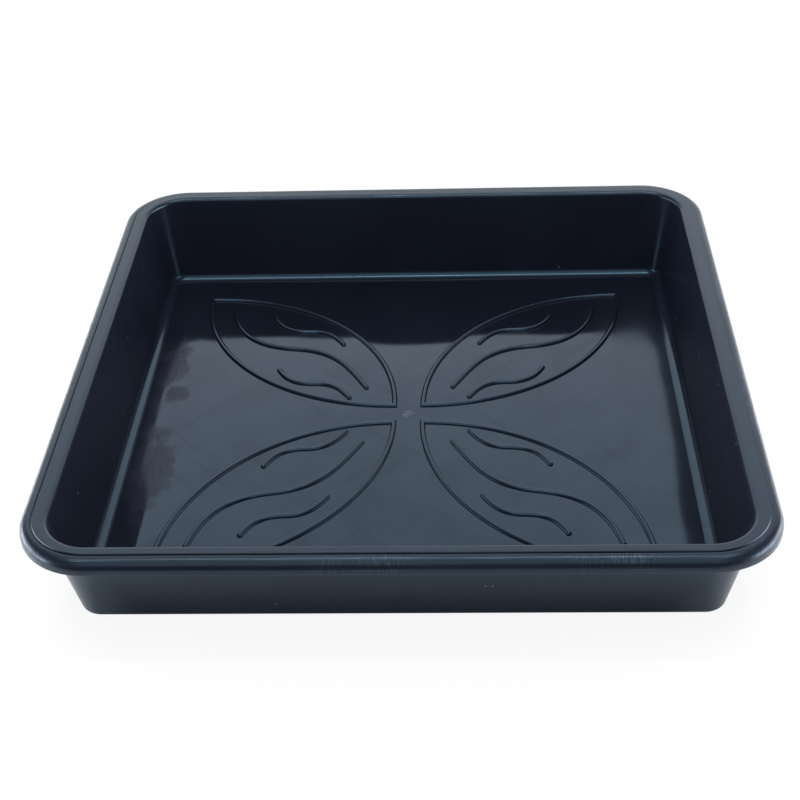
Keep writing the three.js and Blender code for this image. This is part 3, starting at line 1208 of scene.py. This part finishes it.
@dataclass
class LeafRelief:
    """The raised ribs on the floor: four leaves, each an edge, a long vein and two side veins."""

    tray: Tray
    node_half: float = 1.3 * MM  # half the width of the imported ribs
    half_width: float = 1.75 * MM
    flat: float = 0.6 * MM  # half the width of the flat top
    shoulder: float = 1.54  # one draws a shoulder as a quarter of an ellipse, two as a straight slope
    riser: float = 0.3 * MM
    rise: float = 1.2 * MM
    depth: float = 0.5 * MM
    bead_steps: int = 12
    edge_steps: int = 72
    vein_steps: int = 26
    end_steps: int = 11
    pull: float = 0.42
    long_knots: tuple[Point, Point, Point] = ((0.142, 0.15), (0.525, 0.505), (0.863, 0.852))
    long_headings: Triple = (62.0, 8.0, 78.0)
    side_knots: tuple[Point, Point, Point] = ((0.276, 0.537), (0.458, 0.661), (0.637, 0.785))
    side_headings: Triple = (60.0, 0.0, 65.0)
    inner_shift: Point = (-0.055, -0.469)

    def half_bead(self) -> Array:
        """Half a rib's section: sunk underside, short riser, shoulder and flat top.

        The shoulder is a superellipse: its distance and height follow a power of its turn's sine and cosine.

        Returns:
            Distance out and height of each point, from the underside's middle to the top's middle.
        """
        turn = np.linspace(math.pi / 2, 0, self.bead_steps)
        out = self.flat + (self.half_width - self.flat) * np.sin(turn) ** self.shoulder
        arc = np.stack((out, self.riser + self.rise * np.abs(np.cos(turn)) ** self.shoulder), axis=1)
        sunk = [(0.0, -self.depth), (self.half_width, -self.depth)]
        return np.vstack((sunk, arc, [(0.0, self.riser + self.rise)]))

    def leaf(self) -> tuple[float, float]:
        """Works back from a leaf edge's box to the leaf's inner tip and side.

        The outline is two arcs of the side plus half a rib, which cross on the diagonal where the box ends.

        Returns:
            Distance of the inner tip from both middle planes, and the side.
        """
        low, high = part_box(f"{Quarter.BACK_RIGHT.label}_leaf_edge")
        half, rib = (high.x - low.x) / 2, self.node_half
        side = math.sqrt(2 * rib**2 + 4 * half**2) - 2 * rib
        return (low.x + high.x - side) / 2, side

    def edge(self, quarter: Quarter) -> Surface:
        """A leaf's edge: a rib along two quarter arcs, mitred where they meet at the tips.

        A line at a distance from the arc keeps the arc's centre, and turns past the quarter until it
        meets its mirror image on the diagonal.

        Args:
            quarter: the quarter that the leaf lies in.

        Returns:
            The closed surface.
        """
        near, side = self.leaf()
        right = self.half_bead()[1:]
        section = np.vstack((right, (right * np.array([-1.0, 1.0]))[-2::-1]))
        reach = side + section[:, 0]
        past = np.arccos(side / (math.sqrt(2) * reach)) - math.pi / 4
        share = (1 - np.cos(np.linspace(0, math.pi, self.edge_steps, endpoint=False)))[:, None] / 2
        angle = -math.pi / 2 - past + share * (math.pi / 2 + 2 * past)
        arc = np.stack((np.cos(angle), np.sin(angle)), axis=2) * reach[None, :, None]
        lower = arc + np.array([near, near + side])
        # The other arc is the first one turned by half about the leaf's middle
        spots = np.concatenate((lower, 2 * near + side - lower))
        spots = spots * np.array(quarter.value, float)
        heights = np.broadcast_to(section[:, 1], spots.shape[:2])
        if quarter.value[0] * quarter.value[1] < 0:
            spots, heights = spots[::-1], heights[::-1]
        return Surface(self.tray.on_floor(spots, heights))

    def vein_line(self, vein: Vein) -> Array:
        """The middle line of a vein: two cubic curves that meet at its middle, each leaving along a heading.

        Args:
            vein: which vein.

        Returns:
            Points of the line in the back right quarter.
        """
        near, side = self.leaf()
        knots, headings = self.side_knots, self.side_headings
        if vein is Vein.LONG:
            knots, headings = self.long_knots, self.long_headings
        shift = self.inner_shift if vein is Vein.INNER else (0.0, 0.0)
        spots = near + side * (np.array(knots) + np.array(shift))
        turn = np.radians(headings)
        way = np.stack((np.cos(turn), np.sin(turn)), axis=1)
        pull = self.pull * np.linalg.norm(np.diff(spots, axis=0), axis=1)[:, None]
        first, last = spots[:-1], spots[1:]
        leave, arrive = first + way[:-1] * pull, last - way[1:] * pull
        t = np.linspace(0, 1, self.vein_steps + 1)[:, None, None]
        curves = (
            (1 - t) ** 3 * first + 3 * (1 - t) ** 2 * t * leave + 3 * (1 - t) * t**2 * arrive + t**3 * last
        )
        return np.vstack((curves[:, 0], curves[1:, 1]))

    def vein(self, vein: Vein, quarter: Quarter) -> Surface:
        """A vein: half a rib carried round its middle line, so both ends are half round.

        Args:
            vein: which vein.
            quarter: the quarter that it lies in.

        Returns:
            The closed surface.
        """
        section = self.half_bead()
        track = Track.round_line(self.vein_line(vein), self.end_steps).mirrored(quarter)
        return Surface(self.tray.on_floor(track.carry(section[:, 0]), section[None, :, 1]), loop=False)

    def build(self) -> list[Piece]:
        """Makes and dresses every rib.

        Returns:
            The ribs, leaf by leaf.
        """
        material = RIB_PLASTIC.material()
        made = []
        for quarter in Quarter:
            node = f"{quarter.label}_leaf_edge"
            piece = self.edge(quarter).piece(f"{node}_rib")
            made.append(dress(piece, material, [node]))
            for vein in Vein:
                node = f"{quarter.label}_{vein.value}"
                piece = self.vein(vein, quarter).piece(f"{node}_rib", weld=True)
                made.append(dress(piece, material, [node]))
        return made


@dataclass
class GateMark:
    """The torn stub in the middle of the floor, where the plastic came into the mould."""

    tray: Tray
    height: float = 0.42 * MM
    depth: float = 0.3 * MM
    steps: int = 72
    rings: int = 14
    uneven: float = 0.07
    waves: tuple[Triple, ...] = ((2, 1.0, 0.4), (3, 0.6, 1.9), (7, 0.35, 0.0))  # turns, height and phase
    shelf: float = 0.86  # share of the radius where the top starts
    lump: float = 0.12 * MM
    lumps_per_metre: Point = (300.0, 390.0)  # along X and Y
    lump_phases: Point = (0.6, 1.1)

    def surface(self) -> Surface:
        """A low disc whose radius wavers with the angle and whose top is lumpy.

        The radius is scaled by one plus sines of two, three and seven turns. The lumps are products of sines
        of X and Y that fade to nothing at the rim.

        Returns:
            The closed surface.
        """
        low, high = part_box("gate_mark")
        radius = (high.x - low.x) / 2 / (1 + 2 * self.uneven)
        angle = np.linspace(0, 2 * math.pi, self.steps, endpoint=False)
        waver = sum(height * np.sin(turns * angle + phase) for turns, height, phase in self.waves)
        shares = np.concatenate(([0.0, 1.0, 1.0], np.linspace(self.shelf, 0.0, self.rings)))
        heights = np.concatenate(([-self.depth, -self.depth, 0.0], np.full(self.rings, self.height)))
        reach = radius * (1 + self.uneven * waver)
        way = np.stack((np.cos(angle), np.sin(angle)), axis=1)
        spots = way[:, None] * (reach[:, None] * shares)[..., None]
        wave = spots * np.array(self.lumps_per_metre) * 2 * math.pi + np.array(self.lump_phases)
        bump = np.sin(wave).prod(axis=-1)
        on_top = (heights > 0) * (1 - shares**4)
        return Surface(self.tray.on_floor(spots, heights + self.lump * bump * on_top), loop=False)

    def build(self) -> list[Piece]:
        """Makes and dresses the mark."""
        piece = self.surface().piece("gate_mark_stub", weld=True)
        return [dress(piece, GATE_PLASTIC.material(), ["gate_mark"])]


# The studio


@dataclass
class Softbox:
    """A square lamp that shines at a point."""

    name: str
    place: Triple
    target: Triple
    width: float
    depth: float
    radiance: float
    spread: float = 180.0
    colour: Colour = (1.0, 0.98, 1.0)

    def build(self) -> Piece:
        """Makes the lamp: its power is the radiance times pi times its area.

        Returns:
            The lamp.
        """
        light = bpy.data.lights.new(self.name, "AREA")
        light.shape = "RECTANGLE"
        light.size, light.size_y = self.width, self.depth
        light.energy = self.radiance * math.pi * self.width * self.depth
        light.color = self.colour
        light.spread = math.radians(self.spread)
        lamp = bpy.data.objects.new(self.name, light)
        lamp.location = self.place
        lamp.rotation_mode = "QUATERNION"
        lamp.rotation_quaternion = (Vector(self.target) - Vector(self.place)).to_track_quat("-Z", "Y")
        bpy.context.scene.collection.objects.link(lamp)
        return lamp


@dataclass
class Studio:
    """A pale floor, soft light from all sides but the camera's, a few lamps and the camera."""

    floor_half: float = 6.0
    floor_front: float = 0.3
    floor_gap: float = 0.05 * MM  # keeps it off the foot's flat face
    floor_colour: Colour = (0.94, 0.94, 0.94)
    floor_white: float = 0.88
    mirrored_painted_shadow: float = 0.6  # share of the floor's own shade that mirrored light loses along the foot: painted black there as a painted shadow along the front and back foot, and painted white at the foot's ends
    mirrored_round: float = 0.39  # and a little further out
    mirrored_far: float = 0.26  # what is left of that share far out
    # where the painted shadow along the foot gives way to the painted white round it, by the reach from the
    # middle
    painted_shadow_edge: Point = (0.174, 0.212)
    far_edge: Point = (0.215, 0.265)
    painted_shadow_ends: Point = (0.135, 0.185)  # where the painted shadow along the front and back foot ends, from the middle
    cool: Colour = (0.94, 1.0, 1.06)
    fill: float = 0.3
    strip: float = 1.52
    strip_edge: Point = (0.30, 0.46)
    low: float = 1.15
    low_top: Point = (0.17, 0.40)
    side: float = 3.4
    side_edge: Point = (0.74, 0.92)
    side_top: Point = (0.32, 0.46)
    back: float = 1.52
    back_way: Triple = (0.0, 0.906, 0.423)
    back_edge: Point = (0.66, 0.91)  # cosines of the angles where it starts and is full
    camera_side: float = 0.17
    camera_side_flat: float = 3.4  # how many times wider than high the dark patch is
    camera_side_edge: Point = (0.42, 0.58)
    camera_place: Triple = (36.605 * MM, -767.501 * MM, 570.244 * MM)
    focal_pixels: float = 1516.0
    yaw: float = -0.0541
    pitch: float = 0.6244
    roll: float = -0.0418

    def floor_finish(self) -> bpy.types.Material:
        """Makes the pale floor: matt, nearly white to the camera, and with painted shade and light in
        mirrored light.

        In mirrored light it has a painted shadow along the front and back foot, is painted pale at the
        foot's ends and round it, and shows more of its own shade further out.

        Returns:
            The material.
        """
        made = bpy.data.materials.new("studio_floor")
        made.use_nodes = True
        sheet = NodeSheet(made.node_tree)
        out = sheet.add("ShaderNodeOutputMaterial")
        matt = sheet.add("ShaderNodeBsdfDiffuse")
        sheet.put(matt.inputs["Color"], (*self.floor_colour, 1.0))
        white = sheet.add("ShaderNodeEmission")
        both = sheet.add("ShaderNodeMixShader")
        path = sheet.add("ShaderNodeLightPath").outputs
        parts = sheet.parts(sheet.add("ShaderNodeTexCoord").outputs["Object"])
        aside, along = (sheet.math("ABSOLUTE", parts[axis]) for axis in "XY")
        reach = sheet.math("MAXIMUM", aside, along)
        # Painted shadow: mirrored light sees black along the front and back foot, and white at the foot's
        # ends and further out
        ends = sheet.ranged(aside, *self.painted_shadow_ends)
        pale = sheet.math("MAXIMUM", ends, sheet.ranged(reach, *self.painted_shadow_edge))
        sheet.put(white.inputs["Strength"], sheet.math("MAXIMUM", path["Is Camera Ray"], pale))
        near = sheet.ranged(reach, *self.painted_shadow_edge, self.mirrored_painted_shadow, self.mirrored_round)
        far = sheet.ranged(reach, *self.far_edge, 1.0, self.mirrored_far)
        mirrored = sheet.math("MAXIMUM", path["Is Glossy Ray"], path["Is Transmission Ray"])
        mirrored = sheet.math("MULTIPLY", mirrored, sheet.math("MULTIPLY", near, far))
        seen = sheet.math("MULTIPLY", path["Is Camera Ray"], self.floor_white)
        sheet.put(both.inputs[0], sheet.math("MAXIMUM", seen, mirrored))
        sheet.put(both.inputs[1], matt.outputs[0])
        sheet.put(both.inputs[2], white.outputs[0])
        sheet.put(out.inputs["Surface"], both.outputs[0])
        return made

    def floor(self) -> Piece:
        """Lays the pale floor at the foot of the saucer.

        Returns:
            The floor.
        """
        half, front, low = self.floor_half, -self.floor_front, -self.floor_gap
        mesh = bpy.data.meshes.new("studio_floor")
        corners = [(-half, front, low), (half, front, low), (half, half, low), (-half, half, low)]
        mesh.from_pydata(corners, [], [(0, 1, 2, 3)])
        mesh.materials.append(self.floor_finish())
        made = bpy.data.objects.new("studio_floor", mesh)
        bpy.context.scene.collection.objects.link(made)
        return made

    def world(self) -> None:
        """Lights the room by a strip from the back over the top, a broad back, low surroundings and sides.

        The strip fades with the way's X, the surroundings with its Z, the back with the angle from its
        middle and the sides with both X and Z. A patch low on the camera's side is dark. The camera itself
        sees plain white.
        """
        world = bpy.data.worlds.new("studio_world")
        world.use_nodes = True
        bpy.context.scene.world = world
        sheet = NodeSheet(world.node_tree)
        way = sheet.add("ShaderNodeTexCoord").outputs["Generated"]
        parts = sheet.parts(way)
        aside = sheet.math("ABSOLUTE", parts["X"])
        strip = sheet.ranged(aside, *self.strip_edge, self.strip, self.fill)
        low = sheet.ranged(parts["Z"], *self.low_top, self.low, self.fill)
        toward = sheet.vector("DOT_PRODUCT", way, self.back_way).outputs["Value"]
        back = sheet.ranged(toward, *self.back_edge, self.fill, self.back)
        side = sheet.ranged(aside, *self.side_edge, 0.0, self.side)
        level = sheet.math("MULTIPLY", side, sheet.ranged(parts["Z"], *self.side_top, 1.0, 0.0))
        for light in (strip, low, back):
            level = sheet.math("MAXIMUM", level, light)
        flat = sheet.vector("MULTIPLY", way, (1.0, 1.0, self.camera_side_flat)).outputs[0]
        unit = sheet.vector("NORMALIZE", flat).outputs[0]
        front = sheet.vector("DOT_PRODUCT", unit, (0.0, -1.0, 0.0)).outputs["Value"]
        level = sheet.ranged(front, *self.camera_side_edge, level, self.camera_side)
        room = sheet.vector("SCALE", self.cool)
        sheet.put(room.inputs["Scale"], level)
        path = sheet.add("ShaderNodeLightPath")
        seen = sheet.math("MAXIMUM", path.outputs["Is Camera Ray"], path.outputs["Is Transmission Ray"])
        colour = sheet.mix(seen, room.outputs[0], (1.0, 1.0, 1.0))
        shine = sheet.add("ShaderNodeBackground")
        sheet.put(shine.inputs["Color"], colour)
        out = sheet.add("ShaderNodeOutputWorld")
        sheet.put(out.inputs["Surface"], shine.outputs[0])

    def lamps(self) -> None:
        """Hangs two lamps overhead, stands a softbox at each side and lights the floor beside the saucer."""
        middle = (0.0, 0.0, 0.03)
        overhead = {"target": middle, "width": 0.16, "depth": 0.5, "radiance": 11.0}
        beside = {"target": middle, "width": 1.6, "depth": 0.4, "radiance": 8.0}
        down = {"width": 0.4, "depth": 0.9, "radiance": 5.0, "spread": 40.0}
        for lamp in (
            Softbox("overhead_left", (-0.20, 0.0, 1.5), **overhead),
            Softbox("overhead_right", (0.17, 0.0, 1.5), **overhead),
            Softbox("side_left", (-1.5, -0.05, 0.06), **beside),
            Softbox("side_right", (1.5, -0.05, 0.06), **beside),
            Softbox("floor_left", (-0.6, -0.15, 0.9), (-0.6, -0.15, 0.0), **down),
            Softbox("floor_right", (0.6, -0.15, 0.9), (0.6, -0.15, 0.0), **down),
        ):
            lamp.build()

    def camera(self) -> Piece:
        """Stands the camera where the view was taken from.

        The focal length in pixels of an image of 800 gives the lens, and yaw, pitch and roll turn the view.

        Returns:
            The camera.
        """
        data = bpy.data.cameras.new("view_camera")
        data.sensor_width = SENSOR_WIDTH
        data.lens = self.focal_pixels / IMAGE_WIDTH * SENSOR_WIDTH
        made = bpy.data.objects.new("view_camera", data)
        bpy.context.scene.collection.objects.link(made)
        forward = Vector(
            (
                math.sin(self.yaw) * math.cos(self.pitch),
                math.cos(self.yaw) * math.cos(self.pitch),
                -math.sin(self.pitch),
            )
        )
        level = Vector((math.cos(self.yaw), -math.sin(self.yaw), 0.0))
        upright = level.cross(forward)
        right = math.cos(self.roll) * level + math.sin(self.roll) * upright
        up = math.cos(self.roll) * upright - math.sin(self.roll) * level
        turn = Matrix((right, up, -forward)).transposed()
        made.matrix_world = Matrix.Translation(self.camera_place) @ turn.to_4x4()
        bpy.context.scene.camera = made
        return made

    def build(self) -> None:
        """Sets up the whole studio."""
        self.floor()
        self.world()
        self.lamps()
        self.camera()
        bpy.context.scene.view_settings.view_transform = "Standard"


def main() -> None:
    """Builds the saucer, reports its pieces, then sets up the studio."""
    logging.basicConfig(level=logging.INFO, format="%(name)s: %(message)s")
    tray = Tray()
    relief = LeafRelief(tray)
    for assembly in (FloorPanel(tray, relief), Walls(tray), Rim(tray), relief, GateMark(tray)):
        for piece in assembly.build():
            LOG.info("%s: %d faces", piece.name, len(piece.data.polygons))
    Studio().build()


if __name__ == "__main__":
    main()
